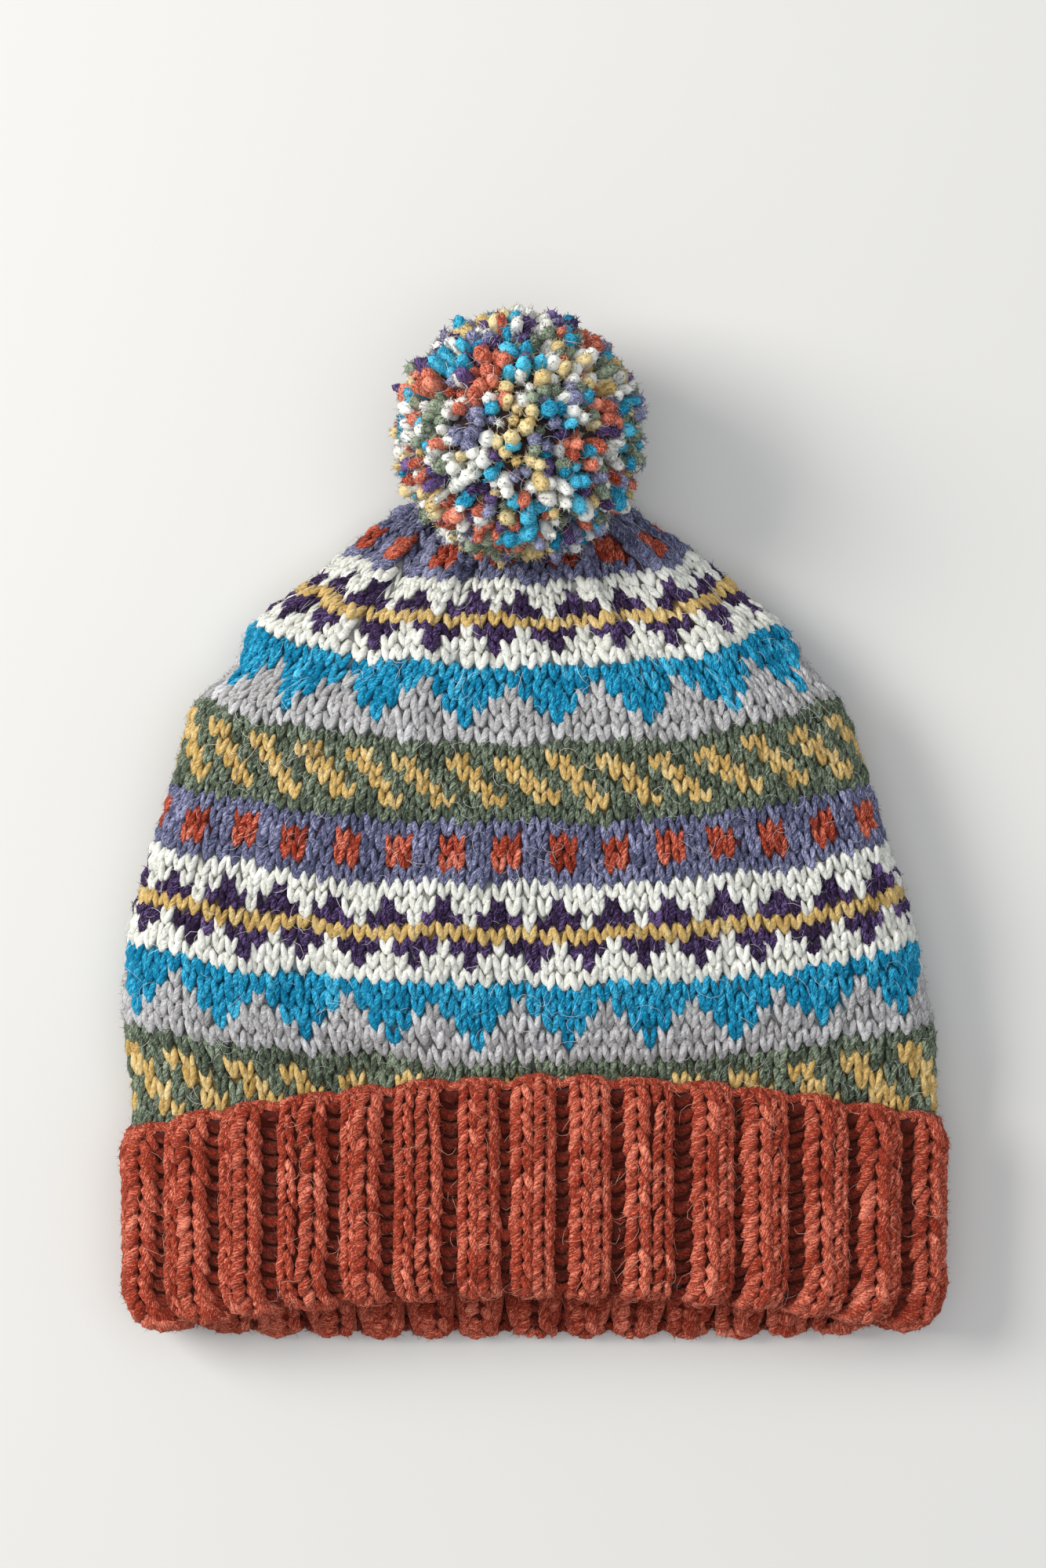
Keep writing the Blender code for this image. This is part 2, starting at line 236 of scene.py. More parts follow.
def ribSkin(shape):
    # the profile's knots are joined by cubics, set in from the cuff's oval by depth less the
    # rib's wave, and each column is then measured off in steps of 1 mm. The wave is round on
    # the crest and steep at its sides: a cosine plus a tanh step of the way off its middle
    turn = np.arange(shape["turns"]) / shape["turns"]
    away = np.abs((ribPlace(turn) - shape["crest"] + 0.5) % 1.0 - 0.5)
    wave = 0.5 * np.tanh((shape["flank"] - away) / shape["flankWidth"]) \
        + 0.5 * np.cos(2 * np.pi * away)
    bow = sideShare(turn) ** 2
    fold = np.where(turn < 0.5,
                    shape["foldUpper"] + (shape["foldSide"] - shape["foldUpper"]) * bow,
                    shape["foldLower"] + (shape["foldSide"] - shape["foldLower"]) * bow ** 2)
    fold = fold - shape["scallop"] * wave
    edge = cuffEdge(turn) + shape["scallop"] * (wave + 0.5 * slowWave(turn, 0, 6))
    starts = dict(fold=fold, edge=edge, mid=fold, top=np.full(len(turn), shape["top"]))
    knots = []
    for start, amount, depth, rib in shape["profile"]:
        along = starts[start] + amount * ((edge - fold) if start == "mid" else 1.0)
        knots.append((along, np.full(len(turn), depth), np.full(len(turn), rib)))
    knots = np.array(knots)
    middle = knots[:, :2, shape["turns"] // 4]
    chord = np.concatenate(([0], np.cumsum(np.linalg.norm(np.diff(middle, axis=0), axis=1))))
    path = smoothTable(chord, knots, np.linspace(0, chord[-1], shape["pathSteps"]))
    along, depth, rib = path[:, 0], path[:, 1], path[:, 2]
    table = np.array(shape["rows"])
    half, low, high = smoothTable(table[:, 0], table[:, 1:], along.ravel()).T.reshape(
        (3,) + along.shape)
    inward = depth - rib * shape["height"] * wave
    flat = ovalPoints(turn[None], 0.0, half - inward, low + inward, high - inward,
                      np.maximum(inward, 0.0))
    places = np.stack((flat[..., 0], along, flat[..., 1]), axis=-1)
    run = np.cumsum(np.linalg.norm(np.diff(places, axis=0), axis=2), axis=0)
    run = np.concatenate((np.zeros((1, len(turn))), run))
    grid = np.empty((shape["length"], len(turn), 3))
    for column in range(len(turn)):
        for axis in range(3):
            grid[:, column, axis] = np.interp(np.arange(shape["length"]), run[:, column],
                                              places[:, column, axis])
    return makeSkin(grid, True), run[-1]


crownFace = crownSkin(crownShape)
ribFace, ribLength = ribSkin(ribShape)
print("surfaces worked out")


# Meshes. A batch is many copies of one small mesh: points (copies, vertices, 3), the quads and
# triangles of one copy, strand, which is each vertex's place in its own yarn (two across, one
# along, in mm), out, the direction away from the yarn's middle, run, the direction along it,
# facing, the way out of the fabric, tone, one shade for each copy, and dye, one colour for each
# copy or vertex where the material doesn't give it.

triangleCount = []


def addObject(name, data):
    thing = bpy.data.objects.new(name, data)
    bpy.context.scene.collection.objects.link(thing)
    return thing


# one mesh of all the batches' copies, in m and in the shared frame
def newPiece(name, batches, material, node):
    points, strands, tones, dyes, quads, triangles, start = [], [], [], [], [], [], 0
    for batch in batches:
        copies, size = batch["points"].shape[:2]
        shift = (start + np.arange(copies) * size)[:, None, None]
        points.append(batch["points"].reshape(-1, 3))
        strands.append(batch["strand"].reshape(-1, 3))
        tones.append(np.repeat(batch["tone"], size))
        if "dye" in batch:
            dyes.append(np.repeat(batch["dye"], size, axis=0) if batch["dye"].shape[0] == copies
                        else batch["dye"])
        quads.append((np.reshape(batch["quads"], (1, -1, 4)) + shift).reshape(-1, 4))
        triangles.append((np.reshape(batch["triangles"], (1, -1, 3)) + shift).reshape(-1, 3))
        start += copies * size
    points, quads, triangles = (np.concatenate(a) for a in (points, quads, triangles))
    points[:, 1] -= mouthToOrigin
    points[:, 2] = np.maximum(points[:, 2], 0.1)  # wool is pressed flat where it lies
    mesh = bpy.data.meshes.new(name)
    mesh.vertices.add(len(points))
    mesh.vertices.foreach_set("co", (points * mm).ravel())
    corners = np.concatenate((quads.ravel(), triangles.ravel())).astype(np.int32)
    mesh.loops.add(len(corners))
    mesh.loops.foreach_set("vertex_index", corners)
    mesh.polygons.add(len(quads) + len(triangles))
    firstCorner = np.concatenate((np.arange(len(quads)) * 4,
                                  len(quads) * 4 + np.arange(len(triangles)) * 3))
    mesh.polygons.foreach_set("loop_start", firstCorner.astype(np.int32))
    mesh.update(calc_edges=True)
    mesh.shade_smooth()
    mesh.attributes.new("tone", "FLOAT", "POINT").data.foreach_set(
        "value", np.concatenate(tones).astype(np.float32))
    mesh.attributes.new("strand", "FLOAT_VECTOR", "POINT").data.foreach_set(
        "vector", np.concatenate(strands).astype(np.float32).ravel())
    if dyes:
        dye = np.concatenate(dyes)
        rgba = np.concatenate((dye, np.ones((len(dye), 1))), axis=1)
        mesh.attributes.new("dye", "FLOAT_COLOR", "POINT").data.foreach_set(
            "color", rgba.astype(np.float32).ravel())
    mesh.materials.append(material)
    piece = addObject(name, mesh)
    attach(piece, "root")
    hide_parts(node)
    triangleCount.append(2 * len(quads) + len(triangles))
    print(f"  {name}: {triangleCount[-1]} triangles")


# one tone for each copy, by chance round a mean with a spread
def tones(meanAndSpread, count):
    return np.clip(rng.normal(*meanAndSpread, count), 0, 1)


# the copies of a batch that a mask keeps
def pick(batch, mask):
    perCopy = ("points", "strand", "out", "run", "tone", "dye")
    return {key: value[mask] if key in perCopy else value for key, value in batch.items()}


# tapered tubes through rows of places: rings of radius r round the inner places, in the plane
# of the side and the up direction, closed by a point at each end
def tubes(centres, normals, radius, tone, flatten=1.0, sides=5):
    copies, places = centres.shape[:2]
    along = unit(np.gradient(centres, axis=1))
    side = unit(np.cross(along, normals))
    up = np.cross(side, along)
    angle = (2 * np.pi * (np.arange(sides) - 0.25 * sides) / sides)[:, None]
    out = side[:, 1:-1, None] * np.cos(angle) + up[:, 1:-1, None] * flatten * np.sin(angle)
    rings = centres[:, 1:-1, None] + out * radius[:, 1:-1, None, None]
    inner = places - 2
    run = np.cumsum(np.linalg.norm(np.diff(centres, axis=1), axis=2), axis=1)
    run = np.concatenate((np.zeros((copies, 1)), run), axis=1)
    strand = np.stack(np.broadcast_arrays(radius[:, 1:-1, None] * np.cos(angle[:, 0]),
                                          radius[:, 1:-1, None] * np.sin(angle[:, 0]),
                                          run[:, 1:-1, None]), axis=-1)

    def whole(ringValues, first, last):
        return np.concatenate((ringValues.reshape(copies, inner * sides, 3), first[:, None],
                               last[:, None]), axis=1)

    ends = [np.stack((0 * run[:, e], 0 * run[:, e], run[:, e]), axis=-1) for e in (0, -1)]
    j = np.arange(sides)
    k = (j + 1) % sides
    ring = np.arange(inner - 1)[:, None] * sides
    quads = np.stack((ring + j, ring + sides + j, ring + sides + k, ring + k), axis=-1)
    first, last = inner * sides, inner * sides + 1
    end = (inner - 1) * sides
    caps = np.concatenate((np.stack((np.full(sides, first), j, k), axis=-1),
                           np.stack((np.full(sides, last), end + k, end + j), axis=-1)))
    return dict(points=whole(rings, centres[:, 0], centres[:, -1]),
                strand=whole(strand, *ends),
                out=whole(out, -along[:, 0], along[:, -1]),
                run=whole(np.repeat(along[:, 1:-1, None], sides, axis=2), along[:, 0], along[:, -1]),
                quads=quads.reshape(-1, 4), triangles=caps, tone=tone)


# fibres as long thin pyramids: a three-sided foot of radius thick round the start, and a point
# at start + lean * length
def spikes(start, lean, length, thick, tone):
    side = unit(np.cross(lean, rng.normal(0, 1, lean.shape)))
    other = np.cross(side, lean)
    angle = (2 * np.pi * np.arange(3) / 3)[:, None]
    ring = thick * (side[:, None] * np.cos(angle) + other[:, None] * np.sin(angle))
    points = np.concatenate((start[:, None] + ring, (start + lean * length)[:, None]), axis=1)
    return dict(points=points, strand=points, tone=tone, quads=np.zeros((0, 4), int),
                triangles=np.array([(1, 0, 3), (2, 1, 3), (0, 2, 3), (0, 1, 2)]))


fibreEnds = dict(
    shown=-0.1,               # least cosine between a foot's outward way and the fabric's
    stray=0.35, shades=0.14,  # how far chance takes the lean and the tone
    sunk=0.2,                 # mm that the foot lies within the yarn
)
# lengths in mm; above is the share of the yarn before the first fibre; paler is tone added to the
# fibres: painted light, which fine fibres catch
loose = dict(length=(0.8, 2.3), thick=0.11, rise=(0.05, 0.6), sprawl=0.9, paler=0.2, above=0.0)


# short loose fibres on a batch of tubes: they leave a vertex on the open side of the yarn and
# lean by outward, along and chance
def fuzz(batch, perCopy, facing, how):
    copies, size = batch["points"].shape[:2]
    count = int(copies * perCopy)
    copy = rng.integers(0, copies, count)
    vertex = rng.integers(int(how["above"] * (size - 2)), size - 2, count)
    out = batch["out"][copy, vertex]
    bare = (out * facing[copy]).sum(axis=1) > fibreEnds["shown"]
    copy, vertex, out = copy[bare], vertex[bare], out[bare]
    count = len(copy)
    lean = unit(out * rng.uniform(*how["rise"], (count, 1))
                + batch["run"][copy, vertex] * rng.normal(0, how["sprawl"], (count, 1))
                + rng.normal(0, fibreEnds["stray"], (count, 3)))
    # the fibres are paler than their yarn by paler: painted light
    tone = batch["tone"][copy] + how["paler"] + rng.normal(0, fibreEnds["shades"], count)
    return spikes(batch["points"][copy, vertex] - fibreEnds["sunk"] * out, lean,
                  rng.uniform(*how["length"], (count, 1)), how["thick"], np.clip(tone, 0, 1))


# one skin through rows of places: quads between neighbours, closed round and from the last row
# back to the first, or left open there
def loft(rows, dye, closed=True, turned=False):
    count, around = rows.shape[:2]
    i = np.arange(count if closed else count - 1)[:, None]
    j = np.arange(around)[None]
    k = (j + 1) % around
    below = (i + 1) % count
    quads = np.stack((i * around + j, i * around + k, below * around + k, below * around + j),
                     axis=-1).reshape(-1, 4)
    points = rows.reshape(1, -1, 3)
    return dict(points=points, strand=points, tone=np.full(1, 0.5), dye=dye.reshape(-1, 3),
                quads=quads[:, ::-1] if turned else quads, triangles=np.zeros((0, 3), int))


# Materials

def linear(hexText):
    values = [int(hexText[i:i + 2], 16) / 255 for i in (1, 3, 5)]
    return tuple(v / 12.92 if v <= 0.04045 else ((v + 0.055) / 1.055) ** 2.4 for v in values)


# adds a node; settings are its attributes or its inputs' values, links are input: socket
def addNode(tree, kind, settings=None, links=None):
    node = tree.nodes.new(kind)
    for name, value in (settings or {}).items():
        if isinstance(name, int) or name in node.inputs:
            node.inputs[name].default_value = value
        else:
            setattr(node, name, value)
    for name, socket in (links or {}).items():
        tree.links.new(socket, node.inputs[name])
    return node


# one step of arithmetic on numbers and sockets
def maths(tree, operation, *terms):
    settings, links = {"operation": operation}, {}
    for number, term in enumerate(terms):
        (settings if isinstance(term, float) else links)[number] = term
    return addNode(tree, "ShaderNodeMath", settings, links).outputs[0]


# a material, its nodes and its surface shader with the values given
def newMaterial(name, values):
    material = bpy.data.materials.new(name)
    material.use_nodes = True
    shader = material.node_tree.nodes["Principled BSDF"]
    for key, value in values.items():
        shader.inputs[key].default_value = value
    return material, material.node_tree, shader


yarns = dict(
    # shade, dyed colour, light; heather is how much the fibres differ
    rust=("#3C0C08", "#96321E", "#FFA083", 0.60),
    purple=("#0E0712", "#2D1E38", "#8068A0", 0.70),
    yellow=("#806330", "#C6A35E", "#EEDFAF", 0.55),
    white=("#ABAB9C", "#DFDFD6", "#FAFAF4", 0.50),
    turquoise=("#003853", "#007DA6", "#64D6F4", 0.60),
    grey=("#706B6B", "#ADACAB", "#E2E1E3", 0.60),
    green=("#20261D", "#525C4C", "#A2AE96", 0.80),
    lavender=("#1F2A42", "#595A76", "#AEB0D0", 0.75),
)

yarnLook = dict(
    twist=7.0,  # mm of yarn for one turn of its two plies
    fibres={"Scale": 2.4, "Detail": 3.0, "Roughness": 0.6},  # features to a mm of yarn
    flecks={"Scale": 1 / (0.6 * mm), "Detail": 2.0, "Roughness": 0.7},
    fleckShare=0.3, contrast=4.2,
    plyRelief=0.55, relief={"Strength": 0.8, "Distance": 0.45 * mm},
)


# Woollen-spun DK yarn, two plies, knitted. The eye sees a matt, slightly furry thread: fibres of
# several shades in one dye (heather) that run along the twist, each stitch a little lighter or
# darker than the next, and a pale bloom at its edges from the loose fibre ends. Fibres are
# 0.02 mm and are drawn 10 times as coarse, so that they show.
def woolYarn(name, shade, dyed, light, heather):
    material, tree, shader = newMaterial(f"{name} woollen-spun DK yarn", {
        "Roughness": 0.92, "Specular IOR Level": 0.15, "Sheen Weight": 0.22,
        "Sheen Roughness": 0.5, "Sheen Tint": linear(light) + (1,)})
    place = addNode(tree, "ShaderNodeTexCoord").outputs["Object"]
    tone = addNode(tree, "ShaderNodeAttribute", {"attribute_name": "tone"}).outputs["Fac"]
    strand = addNode(tree, "ShaderNodeAttribute", {"attribute_name": "strand"}).outputs["Vector"]
    run = addNode(tree, "ShaderNodeSeparateXYZ", None, {0: strand}).outputs["Z"]
    angle = maths(tree, "MULTIPLY", run, 2 * np.pi / yarnLook["twist"])
    twisted = addNode(tree, "ShaderNodeVectorRotate", {"rotation_type": "Z_AXIS"},
                      {"Vector": strand, "Angle": angle}).outputs[0]
    # two plies: x^2 over x^2 + y^2 in the twisted yarn
    parts = addNode(tree, "ShaderNodeSeparateXYZ", None, {0: twisted}).outputs
    wide = maths(tree, "MULTIPLY", parts["X"], parts["X"])
    deep = maths(tree, "MULTIPLY", parts["Y"], parts["Y"])
    ply = maths(tree, "DIVIDE", wide, maths(tree, "ADD", maths(tree, "ADD", wide, deep), 0.02))
    # each stitch's fibres lie elsewhere in the noise, and are 5 times as long as they are wide
    shift = maths(tree, "MULTIPLY", tone, 900.0)
    drawn = addNode(tree, "ShaderNodeVectorMath", {"operation": "MULTIPLY", 1: (1.0, 1.0, 0.2)},
                    {0: twisted}).outputs[0]
    moved = addNode(tree, "ShaderNodeVectorMath", {"operation": "ADD"},
                    {0: drawn, 1: shift}).outputs[0]
    fibres = addNode(tree, "ShaderNodeTexNoise", yarnLook["fibres"],
                     {"Vector": moved}).outputs["Fac"]
    flecks = addNode(tree, "ShaderNodeTexNoise", yarnLook["flecks"],
                     {"Vector": place}).outputs["Fac"]
    share, contrast = yarnLook["fleckShare"], yarnLook["contrast"] * heather
    mixed = maths(tree, "MULTIPLY_ADD", fibres, 1 - share, maths(tree, "MULTIPLY", flecks, share))
    spread = maths(tree, "MULTIPLY_ADD", mixed, contrast, tone)
    centred = maths(tree, "SUBTRACT", spread, contrast / 2)
    ramp = addNode(tree, "ShaderNodeValToRGB", None, {"Fac": centred})
    stops = ramp.color_ramp.elements
    stops[0].color = linear(shade) + (1,)
    stops[1].color = linear(light) + (1,)
    stops.new(0.5).color = linear(dyed) + (1,)
    relief = maths(tree, "MULTIPLY_ADD", ply, yarnLook["plyRelief"], mixed)
    bump = addNode(tree, "ShaderNodeBump", yarnLook["relief"], {"Height": relief})
    tree.links.new(ramp.outputs["Color"], shader.inputs["Base Color"])
    tree.links.new(bump.outputs["Normal"], shader.inputs["Normal"])
    return material


# Wool seen between the stitches, or on its wrong side, whose dye is stored on the mesh: dull,
# knotty and darker than the stitches over it, as its dye is multiplied by darkest plus the knots:
# painted shade under the stitches.
def dyedWool(name, darkest, sheen):
    material, tree, shader = newMaterial(name, {
        "Roughness": 0.95, "Specular IOR Level": 0.1, "Sheen Weight": sheen,
        "Sheen Roughness": 0.5})
    place = addNode(tree, "ShaderNodeTexCoord").outputs["Object"]
    dye = addNode(tree, "ShaderNodeAttribute", {"attribute_name": "dye"}).outputs["Color"]
    knots = addNode(tree, "ShaderNodeTexNoise", {"Scale": 1 / (1.5 * mm), "Detail": 3.0},
                    {"Vector": place}).outputs["Fac"]
    value = maths(tree, "MULTIPLY_ADD", knots, 0.6, darkest)
    tint = addNode(tree, "ShaderNodeMix", {"data_type": "RGBA", "blend_type": "MULTIPLY", 0: 1.0},
                   {6: dye, 7: value})
    bump = addNode(tree, "ShaderNodeBump", {"Strength": 0.6, "Distance": 0.6 * mm},
                   {"Height": knots})
    tree.links.new(tint.outputs[2], shader.inputs["Base Color"])
    tree.links.new(bump.outputs["Normal"], shader.inputs["Normal"])
    return material


yarnMaterial = {name: woolYarn(name, *values) for name, values in yarns.items()}
# darkest 0.4: the wool under the stitches gets painted shade, so it is darker than its dye
shadedFabricWool = dyedWool("wool between the stitches", 0.4, 0.1)
print("materials made")


# The colourwork chart, a Fair Isle kind of repeat, top row first in each band

letters = dict(L="lavender", R="rust", W="white", P="purple", Y="yellow", T="turquoise",
               S="grey", G="green")
squares = ("LLLL", "RRLL", "RRLL", "LLLL")
peaks = ("WWWW", "PWWW", "PPWP", "YYYY", "WPPP", "WWPW", "WWWW")
triangles = ("TTTTTT", "TTTTTS", "STTTSS", "SSTSSS", "SSSSSS")
slants = ("GGGG", "YYGG", "GYYG", "GGYY", "YGGY", "GGGG")
colourwork = dict(
    bands=(
        # chart, stitches round, from the rib up
        (slants, 120), (triangles, 120), (peaks, 120), (squares, 120),
        (slants, 120), (triangles, 96), (peaks, 80), (squares, 56), (("LLLL", "LLLL"), 40),
    ),
    rows=(
        # row, along at the middle of the face, how much farther the row lies at the sides
        (0, 55.0, 7.0), (6, 81.3, 11.7), (11, 103.9, 11.5), (18, 132.5, 12.5),
        (22, 150.2, 12.3), (28, 172.7, 14.5), (33, 194.6, 13.0), (40, 219.5, 9.0),
        (44, 234.5, 4.0), (46, 241.5, 0.5),
    ),
    bowPower=2.5,
    rowHeight=4.2,  # mm, about
    wander=0.0016, ripple=1.2,  # of a turn and in mm, by which columns and rows stray
    tuckRows=1.2, tuck=5.0,     # rows and mm by which stitches go on under the cuff's edge
    upper=-0.15,                # least sine of the turn of a stitch of the shown face
    tone=(0.5, 0.07),
    leg=dict(
        across=(0.02, 0.08, 0.23, 0.37, 0.44),   # stitch widths from the middle
        upward=(-0.36, -0.02, 0.44, 0.94, 1.38),  # rows from the stitch's foot
        lift=(-2.6, -1.4, -1.0, -1.4, -2.7),
        radius=(0.10, 0.245, 0.29, 0.24, 0.10),   # stitch widths
        unevenness=0.085,
    ),
    fuzzAbove=17, fuzzBelow=2,  # fibres for each leg
)


# along of a knit row on the crown: its height at the middle plus a bow towards the sides
def rowAlong(row, turn):
    table = np.array(colourwork["rows"], float)
    middle, bow = smoothTable(table[:, 0], table[:, 1:], row).T
    ripple = colourwork["ripple"] * slowWave(turn, 4 * row, 3)
    return middle.T + bow.T * np.abs(sideShare(turn)) ** colourwork["bowPower"] + ripple


# what an unevenness of 1 moves a leg sideways (stitch widths) and outward (mm), and by how much
# the radius of a leg's rings and its tone go by chance
legSpread = dict(sideways=0.5, outward=2.5, radius=0.04, tone=0.04)


# the two legs of V stitches with a foot at each row and turn: tubes along the leg's table
def vStitches(skin, rowOf, row, turn, width, legs, tone, sides):
    count = len(row)
    ends = [onSkin(skin, rowOf(row + 0.5, turn + s * width), turn + s * width, 0 * row)[0]
            for s in (-0.5, 0.5)]
    pitch = np.linalg.norm(ends[1] - ends[0], axis=-1)
    uneven = legs["unevenness"]
    both = rng.normal(0, uneven, (count, 3))
    parts = []
    for hand in (-1, 1):
        across, upward, lift, radius = (np.array(legs[key])[None] for key in
                                        ("across", "upward", "lift", "radius"))
        shake = both + rng.normal(0, uneven, (count, 3))
        place = turn[:, None] + width[:, None] * (hand * across
                                                  + legSpread["sideways"] * shake[:, :1])
        line = row[:, None] + upward + shake[:, 1:2]
        lifts = lift + shake[:, 2:3] * legSpread["outward"] + 0 * place
        centres, normals = onSkin(skin, rowOf(line, place), place, lifts)
        size = radius * pitch[:, None] * (1 + rng.normal(0, uneven, (count, 1))
                                          + rng.normal(0, legSpread["radius"], radius.shape))
        shade = np.clip(tone + rng.normal(0, legSpread["tone"], count), 0, 1)
        part = tubes(centres, normals, size, shade, flatten=0.95, sides=sides)
        part["facing"] = normals[:, 2]
        parts.append(part)
    return parts


# fuzz on batches of stitches, on the side that faces out of the fabric
def fuzzOn(parts, perCopy):
    return [fuzz(part, perCopy, part["facing"], loose) for part in parts]


# each row of the chart from the rib up: its number, its letters and the stitches round it
def chartRows():
    number = 0
    for chart, around in colourwork["bands"]:
        for line in reversed(chart):
            yield number, line, around
            number += 1


def crownStitches():
    # each row's stitches are spread evenly round, and each takes its colour from the chart,
    # which is read backwards, because turn runs from right to left over the upper face
    found = {name: [] for name in yarns}
    for number, line, around in chartRows():
        column = np.arange(around)
        turn = (column + 0.5) / around
        turn = turn + colourwork["wander"] * slowWave(turn, number, 2)
        for letter in sorted(set(line)):
            mine = np.array([line[-1 - c % len(line)] == letter for c in column])
            found[letters[letter]].append(np.stack((np.full(mine.sum(), number), turn[mine],
                                                    np.full(mine.sum(), 1 / around)), axis=1))

    def rowOf(row, turn):
        return rowAlong(row, turn) - crownShape["start"]

    for name, groups in found.items():
        row, turn, width = np.concatenate(groups).T
        shown = rowAlong(row + colourwork["tuckRows"], turn) > cuffEdge(turn) - colourwork["tuck"]
        row, turn, width = row[shown], turn[shown], width[shown]
        above = np.sin(2 * np.pi * turn) > colourwork["upper"]
        parts = []
        for mine, sides, fuzzy in ((above, 5, colourwork["fuzzAbove"]),
                                   (~above, 4, colourwork["fuzzBelow"])):
            legs = vStitches(crownFace, rowOf, row[mine], turn[mine], width[mine],
                             colourwork["leg"], tones(colourwork["tone"], mine.sum()), sides)
            parts += legs + fuzzOn(legs, fuzzy)
        newPiece(f"crown_stitches_{name}", parts, yarnMaterial[name], "crown")


crownStitches()
print("crown stitches knitted")


# the dye of the chart at places of the crown, as an array of linear colours
def chartDye(row, turn):
    dye = np.zeros(row.shape + (3,))
    for number, line, around in chartRows():
        here = (row >= number) & (row < number + 1)
        column = len(line) - 1 - np.floor(turn * around).astype(int) % len(line)
        for place, letter in enumerate(line):
            dye[here & (column == place)] = linear(yarns[letters[letter]][1])
    dye[row >= number + 1] = linear(yarns["lavender"][1])
    dye[row < 0] = linear(yarns["green"][1])
    return dye


# the knit row at places of the crown: rowAlong turned round by a few steps of Newton's rule
def nearRow(along, turn):
    number, middle = np.array(colourwork["rows"])[:, :2].T
    row = np.interp(along, middle, number)
    for _ in range(5):
        row = row - (rowAlong(row, turn) - along) / colourwork["rowHeight"]
    return row


def crownFabric():
    # the wall under the stitches: the crown's face set in, then back along its inner face
    fabric = dict(step=4.0, around=120, under=2.5, taper=12.0)
    along = np.arange(0, crownShape["end"] - crownShape["start"], fabric["step"])
    turn = np.arange(fabric["around"]) / fabric["around"]
    row, turns = np.meshgrid(along, turn, indexing="ij")
    slim = np.clip((row.max() - row) / fabric["taper"], 0, 1)
    under = fabric["under"] + 0 * slim
    wall = under + (crownShape["wall"] - fabric["under"]) * slim
    outer, inner = (onSkin(crownFace, row, turns, -depth)[0] for depth in (under, wall))
    rows = np.concatenate((outer, inner[::-1]))
    number = nearRow(row.ravel() + crownShape["start"], turns.ravel()).reshape(row.shape)
    # the chart's dyes, which the material darkens with painted shade under the stitches
    dye = chartDye(number, turns)
    dyes = np.concatenate((dye, dye[::-1])).reshape(-1, 3)
    newPiece("crown_fabric", [loft(rows, dyes, turned=True)], shadedFabricWool, "crown")


crownFabric()
print("crown fabric made")


rib = dict(
    rowPitch=4.3,
    firstRow=1.5, lastRoom=1.0,           # mm of path, at the cast-on edge and at the crown
    knit=(-0.08, 0.33), knitWidth=0.44,   # of a rib's width, the middles of its two columns
    purl=0.625, purlWidth=0.17, purlSpread=0.07,
    foldWithin=110,  # mm of path, in which the fold lies
    foldOver=2.0,    # mm past the fold where the inner face begins
    meander=0.0006,
    firstBump=1.12,  # rows, so that it lies below the rolled edge
    # the purl bumps' low tone is painted shade in the rib's valleys
    knitTone=(0.52, 0.06), purlShadedTone=(0.15, 0.08), edgeTone=(0.5, 0.06),
    leg=dict(
        across=(0.07, 0.12, 0.25, 0.37, 0.45),
        upward=(-0.50, -0.06, 0.44, 1.00, 1.56),
        lift=(-2.2, -1.1, -0.7, -1.1, -2.3),
        radius=(0.11, 0.155, 0.17, 0.155, 0.11),
        unevenness=0.04,
    ),
    bump=dict(
        across=(-1.0, -0.5, 0.0, 0.5, 1.0),
        upward=(-0.14, 0.04, 0.16, 0.04, -0.14),
        lift=(-1.9, -1.4, -1.1, -1.4, -1.9),
        radius=(0.28, 0.38, 0.42, 0.38, 0.28),    # rows
    ),
    loop=dict(
        across=(-0.9, -0.4, 0.1, 0.5, 0.9),      # columns
        down=(3.6, 1.9, 1.1, 1.5, 3.2),          # mm of path from the edge
        lift=(-2.0, -0.7, -0.3, -0.7, -2.0),
        radius=(0.7, 1.55, 1.8, 1.55, 0.7),
    ),
    fuzzOut=17, fuzzIn=3,
)


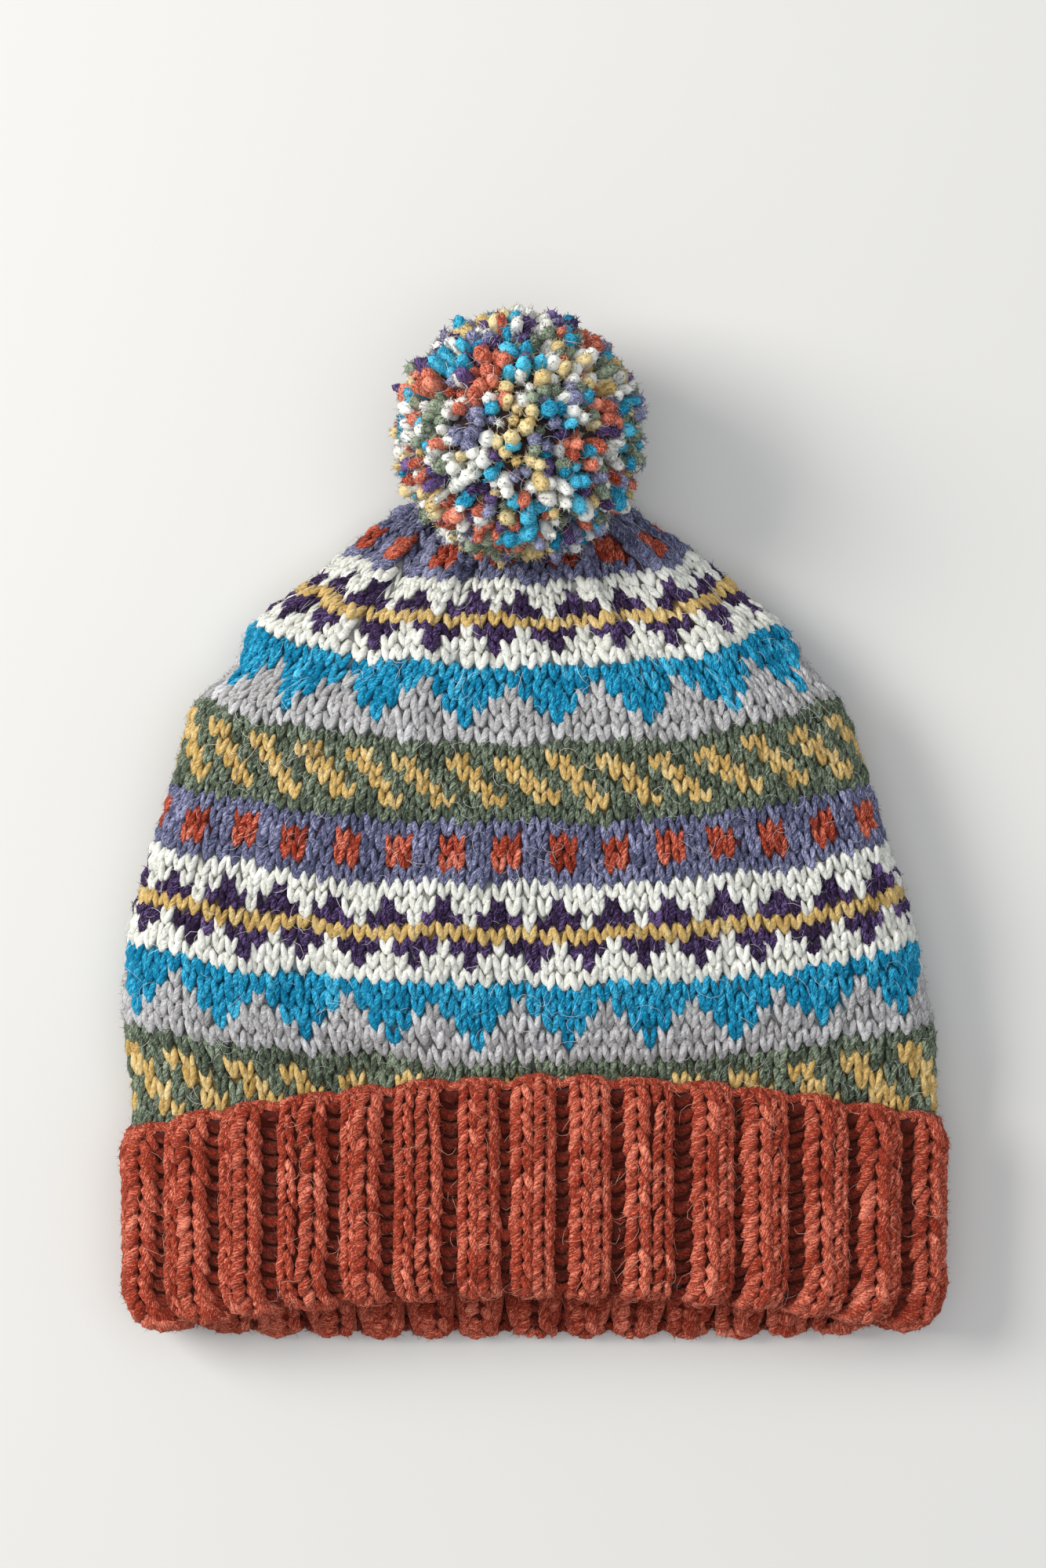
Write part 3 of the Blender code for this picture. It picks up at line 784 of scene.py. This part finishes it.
def ribStitches():
    # V stitches on the crests, a purl bump to each row in the valleys and a row of cast-on
    # loops, at each row of the folded path, which starts at the cast-on edge, so that the
    # turned-up face shows its stitches upside down
    columns = ribShape["ribs"]
    around = ribShape["columnsPerRib"] * columns
    start = ribShape["phase"] / around
    rows = np.arange(int(ribShape["length"] / rib["rowPitch"]))
    foldPlace = np.argmin(ribFace[0][:rib["foldWithin"], :, 1], axis=0).astype(float)

    def rowOf(row, turn):
        return rib["firstRow"] + row * rib["rowPitch"] + 0 * turn

    # the inner face's knit columns lie behind the outer face's purl ones
    def spots(places, inner):
        shift = 0.5 if inner else 0.0
        turn = (start + (np.arange(columns)[:, None] + np.array(places) + shift) / columns)
        turn = turn.ravel() % 1.0
        turn = turn + ribShape["wander"] * slowWave(turn, 0, 1)
        row, turn = (a.ravel() for a in np.meshgrid(rows, turn, indexing="ij"))
        room, fold = (np.interp(turn % 1.0, np.arange(len(ribLength)) / len(ribLength), measure,
                                period=1.0) for measure in (ribLength, foldPlace))
        past = rowOf(row, turn) > fold + rib["foldOver"]
        fits = ((row + 0.4) * rib["rowPitch"] < room - rib["lastRoom"]) & (past == inner)
        turn = turn + rib["meander"] * slowWave(turn, 5 * row, 9)
        return row[fits].astype(float), turn[fits]

    def strip(table, place, line, tone, scale):
        lift = np.array(table["lift"])[None] + 0 * place
        centres, normals = onSkin(ribFace, line, place, lift)
        size = np.array(table["radius"])[None] * scale * (1 + rng.normal(0, 0.08, (len(place), 1)))
        part = tubes(centres, normals, size, tone, flatten=0.9, sides=4)
        part["facing"] = normals[:, 2]
        return part

    for name, inner, fuzzy in (("cuff", False, rib["fuzzOut"]), ("mouth", True, rib["fuzzIn"])):
        row, turn = spots(rib["knit"], inner)
        width = np.full(len(row), rib["knitWidth"] / columns)
        parts = vStitches(ribFace, rowOf, row, turn, width, rib["leg"],
                          tones(rib["knitTone"], len(row)), 5)
        table = rib["bump"]
        row, turn = spots((rib["purl"],), inner)
        shake = rng.normal(0, rib["purlSpread"], (len(row), 2))
        place = turn[:, None] + rib["purlWidth"] / columns * (np.array(table["across"])
                                                              + shake[:, :1])
        line = row[:, None] + rib["firstBump"] + np.array(table["upward"]) + shake[:, 1:]
        parts.append(strip(table, place, rowOf(line, place), tones(rib["purlShadedTone"], len(row)),
                           rib["rowPitch"]))
        if name == "cuff":
            table = rib["loop"]
            turn = (np.arange(around) + 0.5) / around
            place = turn[:, None] + np.array(table["across"]) / around
            line = np.array(table["down"]) + rng.normal(0, 0.2, (around, 1)) + 0 * place
            parts.append(strip(table, place, line, tones(rib["edgeTone"], around), 1.0))
        newPiece(f"rib_stitches_{name}", parts, yarnMaterial["rust"], "brim")
        newPiece(f"rib_fuzz_{name}", fuzzOn(parts, fuzzy), yarnMaterial["rust"], "brim")


ribStitches()
print("rib stitches knitted")


def ribFabric():
    # the folded wall under the rib's stitches: its shown face set in, then back between the plies
    fabric = dict(step=4.0, around=360, under=2.2, depth=3.5)
    turn = np.arange(fabric["around"]) / fabric["around"]
    room = np.interp(turn, np.arange(len(ribLength)) / len(ribLength), ribLength, period=1.0)
    share = np.linspace(0, 1, int(ribShape["length"] / fabric["step"]))[:, None]
    row, turns = share * room, np.repeat(turn[None], len(share), axis=0)
    outer = onSkin(ribFace, row, turns, np.full(row.shape, -fabric["under"]))[0]
    back = onSkin(ribFace, row, turns, np.full(row.shape, -fabric["depth"]))[0][::3]
    rows = np.concatenate((outer, back[::-1]))
    # 5E2016, darker than the rust yarn's dye: painted shade of the rib's valleys
    dye = np.tile(linear("#5E2016"), (rows.shape[0] * rows.shape[1], 1))
    newPiece("rib_fabric", [loft(rows, dye)], shadedFabricWool, "brim")


ribFabric()
print("rib fabric made")


pompom = dict(
    centre=(-4.3, 259.3, 35.4), radius=35.2, core=29.5,
    ends=1060,
    uneven=1.6, shortest=-4.5, longest=0.9,  # mm by which the reach of the ends differs
    lean=1.3,
    share=(0.70, 0.79, 0.86, 0.915, 0.955, 0.985, 1.0),  # of the way out, of the rings
    radii=(0.8, 1.2, 1.6, 1.9, 1.85, 1.3, 0.3),          # a bud, fuller towards its tip
    # tone is high, so the buds are paler than the same yarns on the hat: painted light against the
    # shade between the buds
    tone=(0.72, 0.12),
    lumps=0.17,  # mm, by which the fluffed wool of a bud is uneven
    hazePerEnd=50,
    # paler: the haze is given painted light, paler than its buds
    haze=dict(length=(0.9, 2.2), thick=0.19, rise=(0.2, 0.9), sprawl=0.8, paler=0.14, above=0.4),
    clumps=420, clumping=0.55,  # yarns of one colour lie together, as they were wound
    dyes=dict(rust=0.16, purple=0.11, white=0.27, yellow=0.14, turquoise=0.14, green=0.12,
              lavender=0.09),
    tipRows=150, nearby=4.0,  # mm along and beyond the radius, where the crown can be in the way
    cone=0.9965,              # cosine of half the angle of a yarn's cone
    clear=0.9,                # mm from the crown
)


# how far wool can reach from the pompom's centre before the floor or the crown is in its way:
# the least distance to the crown's places within a narrow cone round each direction
def freeReach(direction, reach):
    centre = np.array(pompom["centre"])
    places = crownFace[0][pompom["tipRows"]:].reshape(-1, 3) - centre
    far = np.linalg.norm(places, axis=1)
    near = far < pompom["radius"] + pompom["nearby"]
    toward, far = places[near] / far[near, None], far[near]
    least = np.array([np.min(far[toward @ d > pompom["cone"]], initial=1e9) for d in direction])
    floor = np.where(direction[:, 2] < 0, centre[2] / np.maximum(-direction[:, 2], 1e-6), 1e9)
    return np.minimum(np.minimum(reach, least - pompom["clear"]), floor)


def evenDirections(count):
    # a Fibonacci spiral over the ball: equal steps of height, a golden angle apart
    number = np.arange(count) + 0.5
    height = 1 - 2 * number / count
    angle = np.pi * (1 + 5 ** 0.5) * number
    ring = np.sqrt(1 - height ** 2)
    return np.stack((ring * np.cos(angle), ring * np.sin(angle), height), axis=1)


def pompomWool():
    # cut yarns point out of a ball, each a bud that leans by chance, with a haze of fibre ends
    count = pompom["ends"]
    direction = unit(evenDirections(count) + rng.normal(0, 0.02, (count, 3)))
    uneven = rng.normal(0, pompom["uneven"], count).clip(pompom["shortest"], pompom["longest"])
    reach = freeReach(direction, pompom["radius"] + uneven)
    share = np.array(pompom["share"])
    bend = np.linspace(0, 1, len(share))[None, :, None] ** 1.5
    lean = rng.normal(0, pompom["lean"], (count, 1, 3)) * bend
    centres = np.array(pompom["centre"]) + direction[:, None] * (reach[:, None] * share)[..., None]
    centres = centres + lean
    around = np.cross(direction, rng.normal(0, 1, direction.shape))
    normals = np.repeat(around[:, None], len(share), axis=1)
    radius = np.array(pompom["radii"]) * (1 + rng.normal(0, 0.18, (count, 1))
                                          + rng.normal(0, 0.08, (count, len(share))))
    ends = tubes(centres, normals, radius, tones(pompom["tone"], count), sides=6)
    ends["points"] += ends["out"] * rng.normal(0, pompom["lumps"], ends["out"].shape[:2])[..., None]
    names = list(pompom["dyes"])
    weights = np.array([pompom["dyes"][n] for n in names])
    weights = weights / weights.sum()
    clumpPlace = unit(rng.normal(0, 1, (pompom["clumps"], 3)))
    clumpColour = rng.choice(len(names), pompom["clumps"], p=weights)
    colour = np.where(rng.uniform(0, 1, count) < pompom["clumping"],
                      clumpColour[(direction @ clumpPlace.T).argmax(axis=1)],
                      rng.choice(len(names), count, p=weights))
    for number, name in enumerate(names):
        mine = colour == number
        buds = pick(ends, mine)
        haze = fuzz(buds, pompom["hazePerEnd"], direction[mine], pompom["haze"])
        newPiece(f"pompom_ends_{name}", [buds, haze], yarnMaterial[name], "pompom")


def pompomCore():
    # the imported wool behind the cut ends: a ball with low waves, shortened like the ends
    rows, around = 24, 40
    polar = np.pi * (np.arange(rows) + 0.5) / rows
    angle = 2 * np.pi * np.arange(around) / around
    p, a = np.meshgrid(polar, angle, indexing="ij")
    direction = np.stack((np.sin(p) * np.cos(a), np.sin(p) * np.sin(a), np.cos(p)), axis=-1)
    reach = pompom["core"] + 0.6 * np.sin(9 * a) * np.sin(7 * p)
    reach = freeReach(direction.reshape(-1, 3), reach.ravel())
    centre = np.array(pompom["centre"])
    places = centre + direction.reshape(-1, 3) * reach[:, None]
    poles = centre + np.array([[0, 0, 1], [0, 0, -1]]) * pompom["core"] * 0.99
    ball = loft(places.reshape(rows, around, 3),
                # 4E3B3B, a dark brown: painted shade in the gaps between the buds
                np.tile(linear("#4E3B3B"), (rows * around + 2, 1)), closed=False, turned=True)
    j = np.arange(around)
    k = (j + 1) % around
    top, bottom, last = rows * around, rows * around + 1, (rows - 1) * around
    ball["triangles"] = np.concatenate((np.stack((np.full(around, top), j, k), axis=-1),
                                        np.stack((np.full(around, bottom), last + k, last + j),
                                                 axis=-1)))
    ball["points"] = np.concatenate((places, poles))[None]
    ball["strand"] = ball["points"]
    newPiece("pompom_core", [ball], shadedFabricWool, "pompom")


def pompomTie():
    # two plies twisted round the line of the tie: centre + r (cos, sin) of a steady turn
    tie = dict(start=234.5, end=244.3, x=-4.3, z=7.8, twist=7.0, radius=0.9, ply=1.0)
    y = np.linspace(tie["start"], tie["end"], 14)
    angle = 2 * np.pi * y / tie["twist"] + np.array([0, np.pi])[:, None]
    centres = np.stack((tie["x"] + tie["radius"] * np.cos(angle), y + 0 * angle,
                        tie["z"] + tie["radius"] * np.sin(angle)), axis=-1)
    normals = np.array([0.0, 0.0, 1.0]) + 0 * centres
    plies = tubes(centres, normals, np.full(y.shape, tie["ply"])[None] + 0 * angle,
                  np.array([0.45, 0.55]), sides=7)
    newPiece("tie_yarn", [plies], yarnMaterial["rust"], "pompom_tie")


pompomWool()
pompomCore()
pompomTie()
print("pompom made")


strays = dict(
    crown=900, rib=450, pompom=520,
    thickness=0.05, length=(3.0, 9.0), height=(0.3, 1.6),  # mm
    upper=0.6,                # share of those drawn over the whole turn that go to the upper face
    bend=1.4, pompomBend=1.3,  # spread in radians of the turn of a heading
    sunk=0.4, pompomSunk=1.0,  # mm that their ends lie in the wool
    places=6,
    tone=(0.6, 1.0),
    pompomShades=("#F2F1EC", "#B9B6C6", "#9CC6D2", "#D9A493"),
)


# single long fibres that leave the wool, bow over it and come back: a place that wanders over
# the skin from a heading that turns steadily, lifted by height times the sine of its share
def strayFibres(skin, rows, count, perTurn, keep, dyeOf, name, node):
    row = rng.uniform(*rows, count)
    turn = rng.uniform(0, 1, count)
    turn = np.where(rng.uniform(0, 1, count) < strays["upper"], turn / 2, turn)
    fits = keep(row, turn)
    row, turn = row[fits], turn[fits]
    column = (len(row), 1)
    length = rng.uniform(*strays["length"], column)
    t = np.linspace(0, 1, strays["places"])[None]
    way = rng.uniform(0, 2 * np.pi, column) + rng.normal(0, strays["bend"], column) * t
    line = row[:, None] + length * np.sin(way) * t
    place = turn[:, None] + length * np.cos(way) * t / perTurn
    height = rng.uniform(*strays["height"], column)
    lifts = height * np.sin(np.pi * t * rng.uniform(0.5, 1.0, column)) - strays["sunk"]
    centres, normals = onSkin(skin, line, place, lifts)
    fibre = tubes(centres, normals, np.full(line.shape, strays["thickness"]),
                  rng.uniform(*strays["tone"], len(row)), sides=3)
    fibre["dye"] = dyeOf(row, turn)
    newPiece(name, [fibre], looseWool, node)


looseWool = dyedWool("loose wool fibre", 0.75, 0.2)
strayFibres(crownFace, (12, 190), strays["crown"], 480.0,
            lambda row, turn: row + crownShape["start"] > cuffEdge(turn),
            lambda row, turn: 0.5 + 0.5 * chartDye(nearRow(row + crownShape["start"], turn), turn),
            "crown_strays", "crown")
strayFibres(ribFace, (1, 95), strays["rib"], 520.0, lambda row, turn: row > 0,
            lambda row, turn: np.tile(linear("#E9A58C"), (len(row), 1)),
            "rib_strays", "brim")


# the same over the pompom: from a direction along a turning heading, at the yarn's reach less
# what they are sunk, plus height times the sine of the share
def pompomStrays():
    column = (strays["pompom"], 1)
    direction = evenDirections(strays["pompom"])
    side = unit(np.cross(direction, rng.normal(0, 1, direction.shape)))
    other = np.cross(direction, side)
    t = np.linspace(0, 1, strays["places"])[None]
    way = rng.uniform(0, 2 * np.pi, column) + rng.normal(0, strays["pompomBend"], column) * t
    run = rng.uniform(*strays["length"], column) / pompom["radius"] * t
    line = unit(direction[:, None] + (run * np.cos(way))[..., None] * side[:, None]
                + (run * np.sin(way))[..., None] * other[:, None])
    reach = freeReach(direction, np.full(len(direction), pompom["radius"]))[:, None] \
        - strays["pompomSunk"] + rng.uniform(*strays["height"], column) * np.sin(np.pi * t)
    centres = np.array(pompom["centre"]) + line * reach[..., None]
    fibre = tubes(centres, line, np.full(reach.shape, strays["thickness"]),
                  rng.uniform(*strays["tone"], len(direction)), sides=3)
    shades = np.array([linear(shade) for shade in strays["pompomShades"]])
    fibre["dye"] = shades[rng.integers(0, len(shades), len(direction))]
    newPiece("pompom_strays", [fibre], looseWool, "pompom")


pompomStrays()
print("loose fibres laid")
print(f"{sum(triangleCount)} triangles in all")


# Floor, camera and light

stageSet = dict(
    imageCentre=(-3.2, 12.8), scaleHeight=15.0, distance=1200.0,  # mm
    frameHeight=451.6,   # mm across the image's long side, at scaleHeight
    sensor=36.0,
    floorHex="#D6D5D1", floorSize=4.0,
    lights=(
        # name, place, size, watts, colour
        ("window", (-1.4, 0.5, 1.15), 0.9, 34.0, (1.0, 0.98, 0.95)),
        ("sky", (0.2, 0.1, 2.3), 2.4, 24.0, (0.97, 0.985, 1.0)),
    ),
    roomColour=(0.9, 0.93, 1.0, 1), roomLight=0.42,
)


def makeStage():
    size = stageSet["floorSize"]
    mesh = bpy.data.meshes.new("floor")
    mesh.from_pydata([(-size, -size, 0), (size, -size, 0), (size, size, 0), (-size, size, 0)], [],
                     [(0, 1, 2, 3)])
    mesh.materials.append(newMaterial("plain pale floor", {
        "Base Color": linear(stageSet["floorHex"]) + (1,), "Roughness": 0.9,
        "Specular IOR Level": 0.1})[0])
    floor = addObject("floor", mesh)

    data = bpy.data.cameras.new("camera")
    data.sensor_fit = "VERTICAL"
    data.sensor_height = stageSet["sensor"]
    data.lens = stageSet["sensor"] * stageSet["distance"] / stageSet["frameHeight"]
    camera = addObject("camera", data)
    x, y = stageSet["imageCentre"]
    camera.location = (x * mm, y * mm, (stageSet["scaleHeight"] + stageSet["distance"]) * mm)
    bpy.context.scene.camera = camera

    for name, place, wide, watts, colour in stageSet["lights"]:
        lamp = bpy.data.lights.new(name, "AREA")
        lamp.size, lamp.energy, lamp.color = wide, watts, colour
        holder = addObject(name, lamp)
        holder.location = place
        aim = np.array(place) / np.linalg.norm(place)
        holder.rotation_euler = (np.arccos(aim[2]), 0.0, np.arctan2(aim[1], aim[0]) + np.pi / 2)

    world = bpy.data.worlds.new("room")
    world.use_nodes = True
    background = world.node_tree.nodes["Background"]
    background.inputs["Color"].default_value = stageSet["roomColour"]
    background.inputs["Strength"].default_value = stageSet["roomLight"]
    bpy.context.scene.world = world
    bpy.context.scene.view_settings.view_transform = "Standard"


makeStage()
print("stage set")
